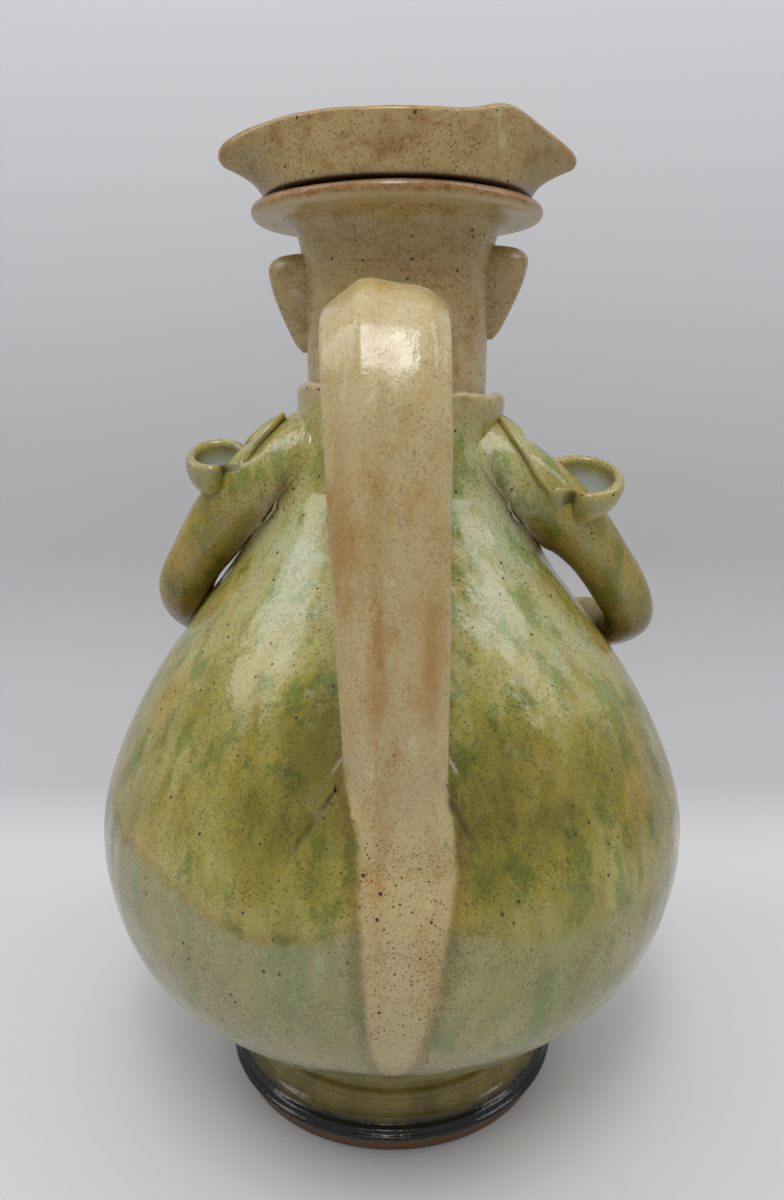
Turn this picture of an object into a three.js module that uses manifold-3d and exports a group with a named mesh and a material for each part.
// A stoneware jug in the shape of a standing figure. A wheel-thrown pot makes the coat, a tall
// neck makes the head, and a pinched three-cornered hat is the mouth that it pours from. Sleeves,
// hands, shoulder straps, collar, ears and face are modelled by hand and luted on, and a pulled
// strap handle stands behind the head. Millimetres, +Z up. The origin is the centre of the flat
// foot. The face looks towards -Y, the handle is at +Y, and +X is the figure's left side.
import * as THREE from "three";
import { mergeVertices } from "three/addons/utils/BufferGeometryUtils.js";
import Module from "manifold-3d";

const wasm = await Module();
wasm.setup();

// Every piece
const clearance = 0.3; // gap left where one piece of clay is luted to the next
const weld = 0.0001; // points closer than this are one point
const roundSteps = 40; // facets round the thrown pieces
const pelletSteps = 10; // facets round a pressed pellet of clay
const fullTurn = 360; // degrees

// Foot
const footRadius = 47.3; // flat underside
const footRidgeRadius = 50.3; // widest turned edge
const footRidgeHeight = 6.3;
const footWaistRadius = 44; // where the belly starts
const footHeight = 24;
const footFloor = 8;
const footWall = 8;
const footShares = [[0.16, 0.3], [0.06, 0.44], [-0.3, 0.62], [-0.1, 0.85]];

// Belly and shoulders
const bellyRadius = 84.3;
const bellyRise = 57; // from the top of the foot up to the widest ring
const shoulderRise = 119; // from the widest ring up to the root of the neck
const potWall = 5;
const bellySteps = 9;
const shoulderSteps = 13;
const underbellyShares = [[0.22, 0.079], [0.509, 0.226], [0.836, 0.5035], [0.983, 0.828]];
const shoulderShares = [[0.993, 0.073], [0.891, 0.2277], [0.7236, 0.383], [0.496, 0.538],
  [0.263, 0.693], [0.1407, 0.798], [0.04, 0.916]];

// Neck, which is the head
const neckRadius = 24.6;
const neckHeight = 48.2;
const boreRadius = 20; // inside the neck and the mouth
const headLean = 1.3; // the head sits this far to the figure's right of the foot's centre
const neckFlare = 6.4; // widening under the brim
const neckShares = [[0.05, 0.74], [0.18, 0.86], [0.42, 0.95]];

// Hat
const brimRadius = 38.4;
const brimThickness = 3.8;
const brimEdgeSteps = 4;
const grooveDepth = 2.2; // dark groove between the brim and the hat's wall
const grooveHeight = 1;
const crownRadius = 34.3; // hat wall just above the groove
const crownHeight = 14.6; // from the groove up to the rim at the back
const hatWallThickness = 4.4;
const rimRadius = 37.2; // rim between the corners
const lipReach = 9.2; // how far a back corner is pinched out past the rim
const spoutReach = 14; // and the front corner, which pours
const lipDip = 4.2; // how far a corner's tip dips below the rim
const rimSwells = [0.8, 3.2]; // rise of the rim beside the left corner and the right one
const backCornerTurn = 77; // degrees from the back to each back corner
const frontCornerTurn = 180;
const lipWidthTurn = 17; // degrees from a corner's tip to where the pinch dies away
const spoutWidthTurn = 23;
const swellTurn = 30; // degrees from a corner's tip to the swell beside it
const hatSteps = 60;
const hatFlareShares = [0.1, 0.4, 0.66, 0.84]; // of the way up the wall
const hatCrestShares = [0.2, 0.7]; // of the wall's thickness, in from its edge
const lipRollShare = 0.5; // how much thicker the rolled lip is at a corner's tip

// Strap handle
const handleWidthTop = 29.6;
const handleWidthFoot = 21.6;
const handleThickness = 11;
const handleReach = 75; // middle of the strap from the neck's axis, at its furthest
const handleTopShare = 0.456; // of the way up the head, where the strap leaves it
const handleFootHeight = 98; // where it melts into the belly
const handleLean = 1.6; // the strap's top sits this far to the figure's left
const handleSteps = 24;
const handlePathShares = [[0.28, 0.985], [0.5, 1.008], [0.7, 1.002], [0.86, 0.955], [0.95, 0.86],
  [0.985, 0.74], [1, 0.55], [1.005, 0.36], [1, 0.22], [0.965, 0.1], [0.88, 0]];
const handleSectionShares = [[0.5, -0.22], [0.5, -0.02], [0.36, 0.24], [0.205, 0.46], [0.12, 0.45],
  [0.03, 0.37], [-0.06, 0.46], [-0.17, 0.39], [-0.28, 0.46], [-0.364, 0.43], [-0.5, 0.14],
  [-0.5, -0.18], [-0.38, -0.42], [0, -0.5], [0.38, -0.42]];
const wingReach = 14; // the thumbed smears that bind the handle's foot to the belly
const wingHeight = 20;
const wingThickness = 7;
const wingDrop = 9.5; // middle of the smears below the place where the strap enters the belly

// Collar
const collarHeight = 9.5;
const collarThickness = 4.2;
const collarSink = 2.5; // its lower edge below the root of the neck
const collarFlare = 2.4; // how far the figure's right side is turned out
const collarFlareDrop = 3.2;
const collarOpening = 6; // how far the collar dips under the chin
const collarSteps = 28;
const collarSectionShares = [[0, 0, 0], [1, 0, 0], [1, 0.8, 1], [0.7, 1, 1], [0, 1, 0.6],
  [0, 0.6, 0]]; // across, up and how much of the flare

// Ears, the left one then the right one
const earReaches = [9.8, 10.6];
const earFootShares = [0.311, 0.384]; // of the way up the head
const earHeights = [25.4, 24];
const earDepth = 15;
const earRingSteps = 10;
const earShares = [[0, 0.14, 0.16], [0.1, 0.34, 0.36], [0.3, 0.58, 0.6], [0.5, 0.79, 0.82],
  [0.7, 0.95, 1], [0.86, 1, 0.96], [0.96, 0.8, 0.7], [1, 0.4, 0.3]];

// Sleeves, the left one then the right one
const sleeveRadius = 7.3;
const sleeveDrop = 12; // top of the sleeve below the root of the neck
const elbowHeights = [148, 138];
const wristHeight = 127.5;
const sleeveStandoffs = [11.9, 15]; // middle of the sleeve from the pot, at its furthest
const sleeveSteps = 18;
const sleeveFacets = 10;
const sleeveShares = [[-0.1, 1, -0.45, 1.65], [-0.1, 0.795, 0.53, 1.42], [-0.03, 0.487, 1, 1.18],
  [0.055, 0.1, 0.97, 1.02], [0.16, -0.326, 0.64, 1], [0.33, -0.651, 0.38, 1],
  [0.52, -0.884, 0.19, 1.02], [0.7, -1, 0.11, 1.1]];

// Hands
const palmLength = 17;
const palmHeight = 15;
const palmThickness = 8;
const fingerRadius = 2.15;
const fingerPitch = 3.7;
const fingerCount = 4;
const fingerFacets = 6;
const palmProudShare = 0.2; // of the palm's thickness, from the clay to its middle
const fingerProudShare = 0.5; // of the finger's radius
const palmTurnShare = 0.785; // of the quarter turn from the side to the front
const fingerTurnShares = [0.8, 0.88, 0.955];
const fingerLengthShares = [0.93, 1, 0.985, 0.9];
const thumbTurnShares = [0.77, 0.82, 0.87];
const thumbRiseShares = [0.25, 0.62, 0.78];

// Shoulder straps with dished ends, the left one then the right one
const strapWidth = 14;
const strapThickness = 2.2;
const dishRadii = [8.9, 11.8];
const dishDepths = [11.6, 12];
const dishWall = 3;
const dishTilt = 24; // degrees, so that the dish opens a little towards the back
const dishRises = [3.2, 0.3]; // rim above the top of the sleeve
const dishSetbacks = [5, 6.5];
const dishAlongShare = 0.185;
const creaseTurn = 22; // degrees from the back, towards the neck, to the fold in the wall
const creaseWidthTurn = 20;
const creaseShare = 0.3; // of the dish's radius
const creaseDip = 2.4; // of the rim in the fold
const dishSteps = 22;
const bowlSteps = 5;
const strapAlongShares = [0.035, 0.07, 0.11, 0.15, 0.18];
const strapTaperShares = [0.45, 0.6, 0.75, 0.9, 1]; // of the width, from the neck outwards
const strapSectionShares = [[-0.5, -0.5], [0.5, -0.5], [0.5, 0.6], [0.36, 0.6], [0.2, 0.25],
  [-0.2, 0.25], [-0.36, 0.6], [-0.5, 0.6]];

// Face. Its lines lie at shares of the head's height.
const chinShare = 0.1;
const mouthShare = 0.274;
const noseTipShare = 0.373;
const eyeShare = 0.643;
const noseLength = 17;
const noseReach = 9;
const noseWidth = 10.5;
const noseShares = [[0, 0.3, 0.5], [0.1, 0.86, 0.95], [0.24, 1, 1], [0.42, 0.74, 0.66],
  [0.7, 0.46, 0.46], [1, 0.16, 0.4]];
const eyeTurn = 24; // degrees each side of the nose
const eyeWidth = 9;
const eyeDepth = 5.2;
const eyeBulge = 3;
const lidRadius = 1.25;
const lidSpan = 25; // degrees round the head
const lidArch = 3.3;
const lowerLidShare = 0.8; // of the upper lid's arch
const browRadius = 1.7;
const browGap = 1.25; // between the upper lid and the brow
const browTurns = [9, 42]; // degrees from the nose, inner and outer end
const browArch = 2.1;
const mouthSpan = 34; // degrees round the head
const lipRadius = 1.75;
const lipGap = 3.9; // between the middles of the two lips
const lipCurve = 1.3;
const lowerLipShare = 0.8; // of the upper lip's span
const lowerLipCurveShare = 0.5;
const chinWidth = 15;
const chinDepth = 7;
const chinReach = 5.2;
const cordFacets = 6;
const cordSteps = 8;
const cordPoints = 4;
const cordProudShare = 1 / 3; // of its radius, from the clay to its middle
const cordEndShare = 0.45; // of its radius, at its ends
const cordTaper = 0.6;

const shoulderHeight = footHeight + bellyRise + shoulderRise;
const widestHeight = footHeight + bellyRise;
const brimHeight = shoulderHeight + neckHeight;
const grooveBottom = brimHeight + brimThickness;
const handleTopHeight = shoulderHeight + neckHeight * handleTopShare;
const sleeveRootHeight = shoulderHeight - sleeveDrop;
const chinHeight = shoulderHeight + neckHeight * chinShare;
const mouthHeight = shoulderHeight + neckHeight * mouthShare;
const noseTipHeight = shoulderHeight + neckHeight * noseTipShare;
const eyeHeight = shoulderHeight + neckHeight * eyeShare;
const browHeight = eyeHeight + lidArch + lidRadius + browGap + browRadius;

const cream = new THREE.MeshStandardMaterial({ color: 0xa8925f, roughness: 0.3, metalness: 0 });
const olive = new THREE.MeshStandardMaterial({ color: 0x8a8a45, roughness: 0.22, metalness: 0 });
const pinkBeige = new THREE.MeshStandardMaterial({ color: 0xbfa987, roughness: 0.28, metalness: 0 });
const footBrown = new THREE.MeshStandardMaterial({ color: 0x5a4a24, roughness: 0.5, metalness: 0 });

const jug = new THREE.Group();

function radians(degrees) {
  return THREE.MathUtils.degToRad(degrees);
}

function mix(from, to, share) {
  return from + (to - from) * share;
}

// A closed solid from a geometry whose seams and poles still hold doubled points. Its faces are
// turned outwards, whichever way they were wound.
function solid(geometry) {
  const bare = geometry.clone();
  bare.deleteAttribute("normal");
  bare.deleteAttribute("uv");
  const welded = mergeVertices(bare, weld);
  const points = welded.attributes.position.array;
  const corners = welded.index.array;
  const kept = [];
  let sixVolumes = 0;
  const at = (corner) => new THREE.Vector3().fromArray(points, corner * 3);
  for (let i = 0; i < corners.length; i += 3) {
    const [a, b, c] = corners.slice(i, i + 3);
    if (a === b || b === c || c === a) continue;
    kept.push(a, b, c);
    sixVolumes += at(a).dot(at(b).cross(at(c)));
  }
  if (sixVolumes < 0) kept.reverse();
  return new wasm.Manifold(new wasm.Mesh({
    numProp: 3,
    vertProperties: Float32Array.from(points),
    triVerts: Uint32Array.from(kept),
  }));
}

function add(name, shape, material) {
  const { vertProperties, triVerts } = shape.getMesh();
  const geometry = new THREE.BufferGeometry();
  geometry.setAttribute("position", new THREE.BufferAttribute(vertProperties, 3));
  geometry.setIndex(new THREE.BufferAttribute(triVerts, 1));
  geometry.computeVertexNormals();
  const mesh = new THREE.Mesh(geometry, material);
  mesh.name = name;
  jug.add(mesh);
}

// A profile of [radius, height] points turned round the vertical axis.
function turned(profile) {
  const outline = profile.map(([radius, height]) => new THREE.Vector2(radius, height));
  return solid(new THREE.LatheGeometry(outline, roundSteps).rotateX(Math.PI / 2));
}

// Rings of points skinned one to the next. A loft that is a ring itself joins its last ring to
// its first. Any other is closed by a fan at each end.
function loft(rings, isRing = false) {
  const around = rings[0].length;
  const points = rings.flat();
  const corners = [];
  const last = isRing ? rings.length : rings.length - 1;
  for (let ring = 0; ring < last; ring += 1) {
    for (let side = 0; side < around; side += 1) {
      const next = (side + 1) % around;
      const above = ((ring + 1) % rings.length) * around;
      const here = ring * around;
      corners.push(here + side, here + next, above + next);
      corners.push(here + side, above + next, above + side);
    }
  }
  if (!isRing) {
    for (const [ring, isLast] of [[0, false], [rings.length - 1, true]]) {
      const centre = new THREE.Vector3();
      rings[ring].forEach((point) => centre.addScaledVector(point, 1 / around));
      const hub = points.push(centre) - 1;
      for (let side = 0; side < around; side += 1) {
        const here = ring * around + side;
        const next = ring * around + ((side + 1) % around);
        corners.push(hub, isLast ? here : next, isLast ? next : here);
      }
    }
  }
  const geometry = new THREE.BufferGeometry().setFromPoints(points);
  geometry.setIndex(corners);
  return solid(geometry);
}

// A round rope of clay along a curve, whose radius follows radiusAt(share of the curve).
function rope(curve, radiusAt, steps, facets) {
  const frames = curve.computeFrenetFrames(steps, false);
  const rings = [];
  for (let step = 0; step <= steps; step += 1) {
    const centre = curve.getPointAt(step / steps);
    const radius = radiusAt(curve.getUtoTmapping(step / steps));
    const ring = [];
    for (let side = 0; side < facets; side += 1) {
      const turn = (side / facets) * Math.PI * 2;
      ring.push(centre.clone()
        .addScaledVector(frames.normals[step], radius * Math.cos(turn))
        .addScaledVector(frames.binormals[step], radius * Math.sin(turn)));
    }
    rings.push(ring);
  }
  return loft(rings);
}

// A value read from a table of evenly spaced shares.
function readTable(values, share) {
  const place = THREE.MathUtils.clamp(share, 0, 1) * (values.length - 1);
  const index = Math.min(Math.floor(place), values.length - 2);
  return mix(values[index], values[index + 1], place - index);
}

// The pot's outline from the top of the foot to the root of the neck, as [radius, height].
function potOutline() {
  const low = underbellyShares.map(([out, up]) => new THREE.Vector2(
    mix(footWaistRadius, bellyRadius, out),
    footHeight + bellyRise * up,
  ));
  const high = shoulderShares.map(([out, up]) => new THREE.Vector2(
    mix(neckRadius, bellyRadius, out),
    widestHeight + shoulderRise * up,
  ));
  const foot = new THREE.Vector2(footWaistRadius, footHeight);
  const root = new THREE.Vector2(neckRadius, shoulderHeight);
  const curve = new THREE.SplineCurve([foot, ...low, ...high, root]);
  return curve.getSpacedPoints(bellySteps + shoulderSteps);
}

const outline = potOutline();

function potRadiusAt(height) {
  const above = Math.max(outline.findIndex((point) => point.y > height), 0);
  if (height >= shoulderHeight) return neckRadius;
  if (above === 0) return footWaistRadius;
  const [low, high] = [outline[above - 1], outline[above]];
  return mix(low.x, high.x, (height - low.y) / (high.y - low.y));
}

// The outline moved out along its own normals, or in where the distance is negative.
function offsetOutline(distance) {
  return outline.map((point, index) => {
    const before = outline[Math.max(index - 1, 0)];
    const after = outline[Math.min(index + 1, outline.length - 1)];
    const along = after.clone().sub(before).normalize();
    return [point.x + along.y * distance, point.y - along.x * distance];
  });
}

// The pot as a full solid grown by the given distance, for cutting what sits on it.
function potEnvelope(grow) {
  const wall = offsetOutline(grow);
  return turned([[0, footHeight], [wall[0][0], footHeight], ...wall, [0, wall.at(-1)[1]]]);
}

function neckOutline(grow) {
  const flare = neckShares.map(([out, up]) => [
    neckRadius + neckFlare * out + grow,
    shoulderHeight + neckHeight * up,
  ]);
  return [[neckRadius + grow, shoulderHeight + clearance], ...flare,
    [neckRadius + neckFlare + grow, brimHeight - clearance]];
}

function neckRadiusAt(height) {
  const wall = neckOutline(0);
  const above = wall.findIndex((point) => point[1] > height);
  if (above < 1) return neckRadius;
  const [low, high] = [wall[above - 1], wall[above]];
  return mix(low[0], high[0], (height - low[1]) / (high[1] - low[1]));
}

function onHead(shape) {
  return shape.translate([-headLean, 0, 0]);
}

function neckEnvelope(grow) {
  const top = brimHeight - clearance;
  return onHead(turned([[0, shoulderHeight], [neckRadius + grow, shoulderHeight],
    ...neckOutline(grow), [0, top]]));
}

const potCutter = potEnvelope(clearance);
const neckCutter = neckEnvelope(clearance);

function makeFoot() {
  const waist = footShares.map(([out, up]) => [
    mix(footWaistRadius, footRidgeRadius, out),
    mix(footRidgeHeight, footHeight, up),
  ]);
  const top = footHeight - clearance;
  const bore = footWaistRadius - footWall;
  add("foot", turned([[0, 0], [footRadius, 0], [footRidgeRadius, footRidgeHeight], ...waist,
    [footWaistRadius, top], [bore, top], [bore, footFloor], [0, footFloor]]), footBrown);
}

function makeBelly() {
  const inside = offsetOutline(-potWall).filter((point, index) => index % 2).reverse();
  const outside = outline.map((point) => [point.x, point.y]);
  add("belly", turned([...outside, [boreRadius, shoulderHeight], ...inside,
    [footWaistRadius - footWall, footHeight], outside[0]]), olive);
}

function makeNeck() {
  const outside = neckOutline(0);
  const [bottom, top] = [outside[0][1], outside.at(-1)[1]];
  add("neck", onHead(turned([...outside, [boreRadius, top], [boreRadius, bottom],
    outside[0]])), cream);
}

function makeBrim() {
  const half = brimThickness / 2;
  const seat = crownRadius - grooveDepth;
  const rounded = [];
  for (let step = 0; step <= brimEdgeSteps; step += 1) {
    const turn = (step / brimEdgeSteps - 1 / 2) * Math.PI;
    rounded.push([brimRadius - half + half * Math.cos(turn),
      brimHeight + half + half * Math.sin(turn)]);
  }
  add("hat_brim", onHead(turned([[boreRadius, brimHeight], ...rounded,
    [seat, grooveBottom], [seat, grooveBottom + grooveHeight - clearance],
    [boreRadius, grooveBottom + grooveHeight - clearance], [boreRadius, brimHeight]])), cream);
}

// How strongly a corner is pinched at a turn from the back, from 1 at its tip down to nothing.
function pinch(turn, corner, width) {
  const round = THREE.MathUtils.euclideanModulo(turn - corner, fullTurn);
  const away = Math.min(round, fullTurn - round);
  return Math.exp(-((away / width) ** 2));
}

// The hat's wall stands on the brim and is pinched out at three corners. Each turn round the
// axis has its own section: up the outer face, over the rolled lip and down the inner face.
function makeHatWall() {
  const foot = grooveBottom + grooveHeight;
  const seat = crownRadius - grooveDepth;
  const rings = [];
  for (let step = 0; step < hatSteps; step += 1) {
    const turn = (step / hatSteps) * fullTurn;
    const backs = [backCornerTurn, -backCornerTurn];
    const back = Math.max(...backs.map((corner) => pinch(turn, corner, lipWidthTurn)));
    const front = pinch(turn, frontCornerTurn, spoutWidthTurn);
    const drawn = Math.max(back, front);
    const swells = backs.flatMap((corner, side) => [corner - swellTurn, corner + swellTurn]
      .map((place) => rimSwells[side] * pinch(turn, place, lipWidthTurn)));
    const reach = rimRadius - crownRadius + lipReach * back + spoutReach * front;
    const rise = crownHeight + Math.max(...swells) - lipDip * drawn;
    const bend = 1 + drawn;
    const thick = hatWallThickness * (1 + lipRollShare * drawn);
    const outer = hatFlareShares.map((up) => [crownRadius + reach * up ** bend, rise * up]);
    const inner = outer.slice(0, -1).reverse().map(([radius, up]) => [radius - thick, up]);
    const edge = crownRadius + reach;
    const crest = hatCrestShares.map((inwards) => [edge - thick * inwards, rise]);
    const section = [[seat, 0], ...outer, ...crest,
      [edge - thick, rise * hatFlareShares.at(-1)], ...inner, [crownRadius - thick, 0]];
    const angle = radians(turn);
    rings.push(section.map(([radius, up]) => new THREE.Vector3(
      radius * Math.sin(angle), radius * Math.cos(angle), foot + up)));
  }
  add("hat_wall", onHead(loft(rings, true)), cream);
}

const handleCurve = new THREE.CatmullRomCurve3(handlePathShares.map(([out, up]) =>
  new THREE.Vector3(handleLean * up, handleReach * out,
    mix(handleFootHeight, handleTopHeight, up))));

// The height at which the middle of the strap enters the belly.
function handleEntryHeight() {
  const places = handleCurve.getPoints(handleSteps * handlePathShares.length).reverse();
  return places.find((place) => place.y > potRadiusAt(place.z)).z;
}

// The strap is pulled: it tapers from the neck to its foot, with a flat back, one broad and one
// narrow bevel and two finger grooves running down it.
function makeHandle() {
  const rings = [];
  for (let step = 0; step <= handleSteps; step += 1) {
    const share = step / handleSteps;
    const centre = handleCurve.getPoint(share);
    const along = handleCurve.getTangent(share);
    const out = new THREE.Vector3(0, -along.z, along.y).normalize();
    const width = mix(handleWidthTop, handleWidthFoot, share);
    rings.push(handleSectionShares.map(([across, proud]) => centre.clone()
      .addScaledVector(out, handleThickness * proud)
      .add(new THREE.Vector3(width * across, 0, 0))));
  }
  const strap = loft(rings);
  const wingCentre = handleEntryHeight() - wingDrop;
  const wings = new THREE.SphereGeometry(1, pelletSteps, pelletSteps)
    .scale(handleWidthFoot / 2 + wingReach / 2, wingThickness / 2, wingHeight / 2)
    .translate(0, potRadiusAt(wingCentre), wingCentre);
  add("handle", strap.add(solid(wings)).subtract(neckCutter).subtract(potCutter), pinkBeige);
}

// The coat's collar stands round the root of the neck, is turned out on the figure's right and
// dips under the chin.
function collarSolid(grow) {
  const rings = [];
  const foot = shoulderHeight - collarSink - grow;
  for (let step = 0; step < collarSteps; step += 1) {
    const angle = (step / collarSteps) * Math.PI * 2;
    const flare = ((1 - Math.cos(angle)) / 2) ** 2;
    const open = ((1 - Math.sin(angle)) / 2) ** 4;
    const top = foot + 2 * grow + collarHeight - collarFlareDrop * flare - collarOpening * open;
    const inner = neckRadius + clearance - grow;
    const outer = inner + collarThickness + 2 * grow;
    rings.push(collarSectionShares.map(([across, up, lean]) => {
      const radius = mix(inner, outer, across) + collarFlare * flare * lean;
      return new THREE.Vector3(
        radius * Math.cos(angle), radius * Math.sin(angle), mix(foot, top, up));
    }));
  }
  return onHead(loft(rings, true));
}

function makeEar(name, side, index) {
  const rings = earShares.map(([up, out, deep]) => {
    const foot = shoulderHeight + neckHeight * earFootShares[index];
    const reach = earReaches[index] * out;
    const ring = [];
    for (let step = 0; step < earRingSteps; step += 1) {
      const turn = (step / earRingSteps) * Math.PI * 2;
      ring.push(new THREE.Vector3(
        side * (neckRadius + reach * Math.cos(turn)) - headLean,
        (earDepth / 2) * deep * Math.sin(turn),
        foot + earHeights[index] * up,
      ));
    }
    return ring;
  });
  add(name, loft(rings).subtract(neckCutter), cream);
}

// A place just off the pot: a share of the quarter turn from the side to the front, a height and
// a distance out from the clay.
function offPot(side, turnShare, height, standoff) {
  const angle = turnShare * Math.PI / 2;
  const radius = potRadiusAt(height) + standoff;
  return new THREE.Vector3(side * radius * Math.cos(angle), -radius * Math.sin(angle), height);
}

function sleeveCurve(side, index) {
  const elbow = elbowHeights[index];
  return new THREE.CatmullRomCurve3(sleeveShares.map(([turn, up, out]) => offPot(
    side, turn, up > 0 ? mix(elbow, sleeveRootHeight, up) : mix(elbow, wristHeight, -up),
    sleeveStandoffs[index] * out,
  )));
}

function sleeveRadiusAt(share) {
  return sleeveRadius * readTable(sleeveShares.map((row) => row[3]), share);
}

function sleeveSolid(side, index, grow) {
  return rope(sleeveCurve(side, index), (share) => sleeveRadiusAt(share) + grow,
    sleeveSteps, sleeveFacets);
}

// A place on top of the sleeve and the way out of the clay there.
function sleeveTop(side, index, share, above) {
  const curve = sleeveCurve(side, index);
  const along = curve.getTangent(share);
  const up = new THREE.Vector3(0, 0, 1).addScaledVector(along, -along.z).normalize();
  const point = curve.getPoint(share).addScaledVector(up, sleeveRadiusAt(share) + above);
  return { point, along, up };
}

function makeHand(name, side, sleeve) {
  const palmAngle = palmTurnShare * Math.PI / 2;
  const centre = offPot(side, palmTurnShare, wristHeight, palmThickness * palmProudShare);
  let hand = solid(new THREE.SphereGeometry(1, pelletSteps, pelletSteps)
    .scale(palmLength / 2, palmThickness / 2, palmHeight / 2)
    .rotateZ(-side * (Math.PI / 2 - palmAngle))
    .translate(centre.x, centre.y, centre.z));
  for (let finger = 0; finger < fingerCount; finger += 1) {
    const rise = (finger - (fingerCount - 1) / 2) * fingerPitch;
    const points = fingerTurnShares.map((turn) => offPot(
      side, mix(fingerTurnShares[0], turn, fingerLengthShares[finger]),
      wristHeight + rise, fingerRadius * fingerProudShare));
    hand = hand.add(rope(new THREE.CatmullRomCurve3(points), () => fingerRadius,
      cordSteps, fingerFacets));
  }
  const thumb = thumbTurnShares.map((turn, index) => offPot(
    side, turn, wristHeight + palmHeight * thumbRiseShares[index],
    fingerRadius * fingerProudShare));
  hand = hand.add(rope(new THREE.CatmullRomCurve3(thumb), () => fingerRadius,
    cordSteps, fingerFacets));
  add(name, hand.subtract(sleeve).subtract(potCutter), cream);
}

// The dish at a strap's outer end: a half egg whose wall is folded in at one place.
function dishSolid(side, index) {
  const radius = dishRadii[index];
  const depth = dishDepths[index];
  const bowl = [];
  for (let step = 0; step <= bowlSteps; step += 1) {
    const turn = (step / bowlSteps) * Math.PI / 2;
    bowl.push([radius * Math.sin(turn), -depth * Math.cos(turn)]);
  }
  for (let step = bowlSteps; step >= 0; step -= 1) {
    const turn = (step / bowlSteps) * Math.PI / 2;
    bowl.push([(radius - dishWall) * Math.sin(turn), -(depth - dishWall) * Math.cos(turn)]);
  }
  const rings = [];
  for (let step = 0; step < dishSteps; step += 1) {
    const turn = (step / dishSteps) * fullTurn;
    const fold = pinch(turn, -side * creaseTurn, creaseWidthTurn);
    const angle = radians(turn);
    rings.push(bowl.map(([out, up]) => {
      const folded = out * (1 - creaseShare * fold);
      return new THREE.Vector3(folded * Math.sin(angle), folded * Math.cos(angle),
        up - creaseDip * fold * out / radius);
    }));
  }
  return loft(rings, true);
}

function makeShoulderStrap(name, side, index, sleeve) {
  const rings = strapAlongShares.map((share, station) => {
    const { point, along, up } = sleeveTop(side, index, share, strapThickness / 2);
    const across = new THREE.Vector3().crossVectors(along, up).normalize();
    return strapSectionShares.map(([wide, thick]) => point.clone()
      .addScaledVector(across, strapWidth * strapTaperShares[station] * wide)
      .addScaledVector(up, strapThickness * thick));
  });
  const rim = sleeveTop(side, index, dishAlongShare, 0).point;
  const dish = dishSolid(side, index).rotate([-dishTilt, 0, 0])
    .translate([rim.x, rim.y + dishSetbacks[index], rim.z + dishRises[index]]);
  add(name, loft(rings).add(dish).subtract(sleeve).subtract(potCutter)
    .subtract(collarCutter), olive);
}

// A place on the head: degrees round from the nose, a height and a distance out from the clay.
function offHead(turn, height, standoff) {
  const radius = neckRadiusAt(height) + standoff;
  return new THREE.Vector3(radius * Math.sin(radians(turn)) - headLean,
    -radius * Math.cos(radians(turn)), height);
}

// A thin rope of clay laid on the head between two turns. Its middle is lifted by arch.
function faceRope(from, to, height, arch, radius) {
  const points = [];
  for (let step = 0; step <= cordPoints; step += 1) {
    const share = step / cordPoints;
    const lift = arch * Math.sin(Math.PI * share);
    points.push(offHead(mix(from, to, share), height + lift, radius * cordProudShare));
  }
  const taper = (share) => radius * mix(cordEndShare, 1, Math.sin(Math.PI * share) ** cordTaper);
  return rope(new THREE.CatmullRomCurve3(points), taper, cordSteps, cordFacets);
}

function makeNose() {
  const rings = noseShares.map(([up, out, wide]) => {
    const height = noseTipHeight + noseLength * up;
    const ring = [];
    for (let step = 0; step < earRingSteps; step += 1) {
      const turn = (step / earRingSteps) * Math.PI * 2;
      ring.push(new THREE.Vector3(
        (noseWidth / 2) * wide * Math.cos(turn) - headLean,
        -neckRadius - noseReach * out * Math.sin(turn),
        height,
      ));
    }
    return ring;
  });
  add("nose", loft(rings).subtract(neckCutter), cream);
}

function pellet(turn, height, width, reach, depth) {
  const centre = offHead(turn, height, 0);
  return solid(new THREE.SphereGeometry(1, pelletSteps, pelletSteps)
    .scale(width / 2, reach, depth / 2)
    .rotateZ(radians(turn))
    .translate(centre.x, centre.y, centre.z));
}

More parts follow.
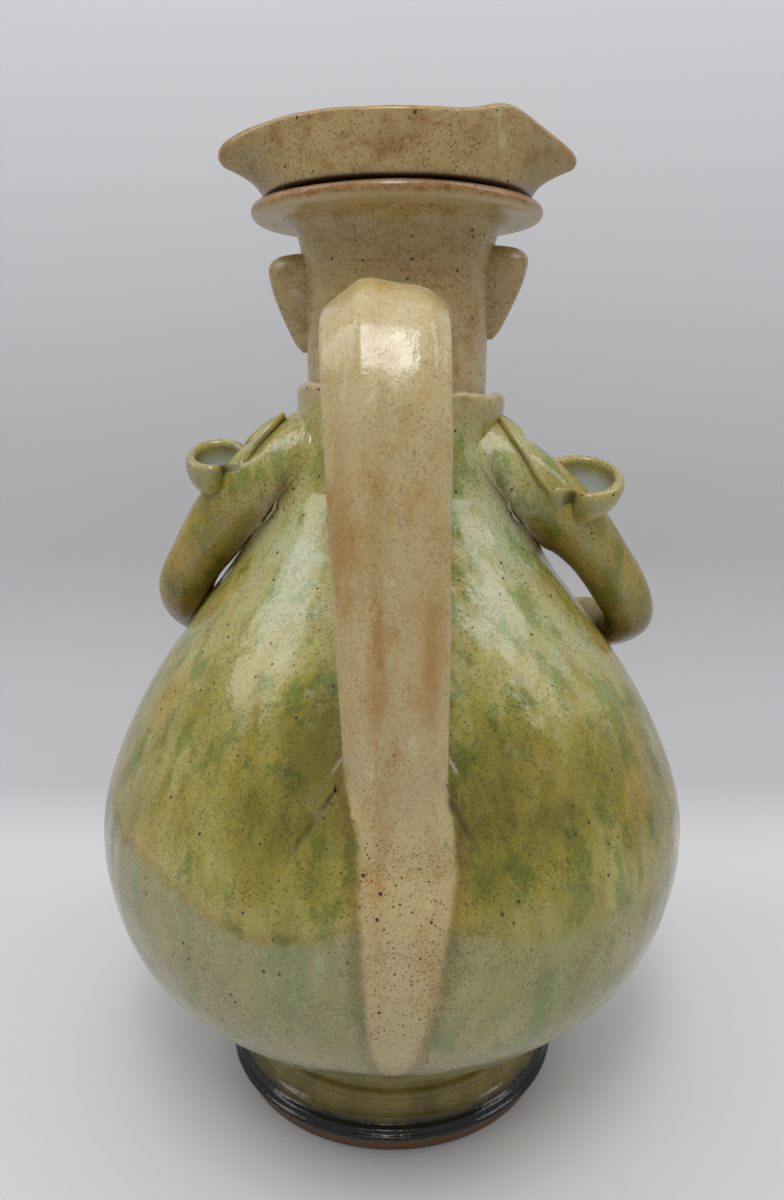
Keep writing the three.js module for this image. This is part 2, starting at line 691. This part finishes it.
function makeEye(label, side) {
  const turn = side * eyeTurn;
  const eye = pellet(turn, eyeHeight, eyeWidth, eyeBulge, eyeDepth).subtract(neckCutter);
  const ends = [turn - lidSpan / 2, turn + lidSpan / 2];
  const upper = faceRope(...ends, eyeHeight, lidArch, lidRadius);
  const lower = faceRope(...ends, eyeHeight - lidRadius, -lidArch * lowerLidShare, lidRadius);
  const eyeCutter = pellet(turn, eyeHeight, eyeWidth + 2 * clearance, eyeBulge + clearance,
    eyeDepth + 2 * clearance);
  add(`eye_${label}`, eye, cream);
  for (const [lid, shape] of [["upper", upper], ["lower", lower]]) {
    add(`${lid}_eyelid_${label}`, shape.subtract(eyeCutter).subtract(neckCutter), cream);
  }
  const brow = faceRope(side * browTurns[0], side * browTurns[1], browHeight, browArch, browRadius);
  add(`brow_${label}`, brow.subtract(neckCutter), cream);
}

function lowerLip(grow) {
  const half = mouthSpan * lowerLipShare / 2;
  return faceRope(-half, half, mouthHeight - lipGap, -lipCurve * lowerLipCurveShare,
    lipRadius + grow);
}

function makeMouthAndChin() {
  const upper = faceRope(-mouthSpan / 2, mouthSpan / 2, mouthHeight, lipCurve, lipRadius);
  add("upper_lip", upper.subtract(neckCutter), cream);
  add("lower_lip", lowerLip(0).subtract(neckCutter), cream);
  const chin = pellet(0, chinHeight, chinWidth, chinReach, chinDepth).subtract(neckCutter)
    .subtract(collarCutter).subtract(lowerLip(2 * clearance));
  add("chin", chin, cream);
}

makeFoot();
makeBelly();
makeNeck();
makeBrim();
makeHatWall();
makeHandle();
add("collar", collarSolid(0).subtract(potCutter).subtract(neckCutter), olive);
const collarCutter = collarSolid(clearance);
for (const [label, side, index] of [["left", 1, 0], ["right", -1, 1]]) {
  makeEar(`ear_${label}`, side, index);
  add(`sleeve_${label}`, sleeveSolid(side, index, 0).subtract(potCutter)
    .subtract(collarCutter), olive);
  const sleeveCutter = sleeveSolid(side, index, clearance);
  makeHand(`hand_${label}`, side, sleeveCutter);
  makeShoulderStrap(`shoulder_strap_${label}`, side, index, sleeveCutter);
  makeEye(label, side);
}
makeNose();
makeMouthAndChin();

export default jug;
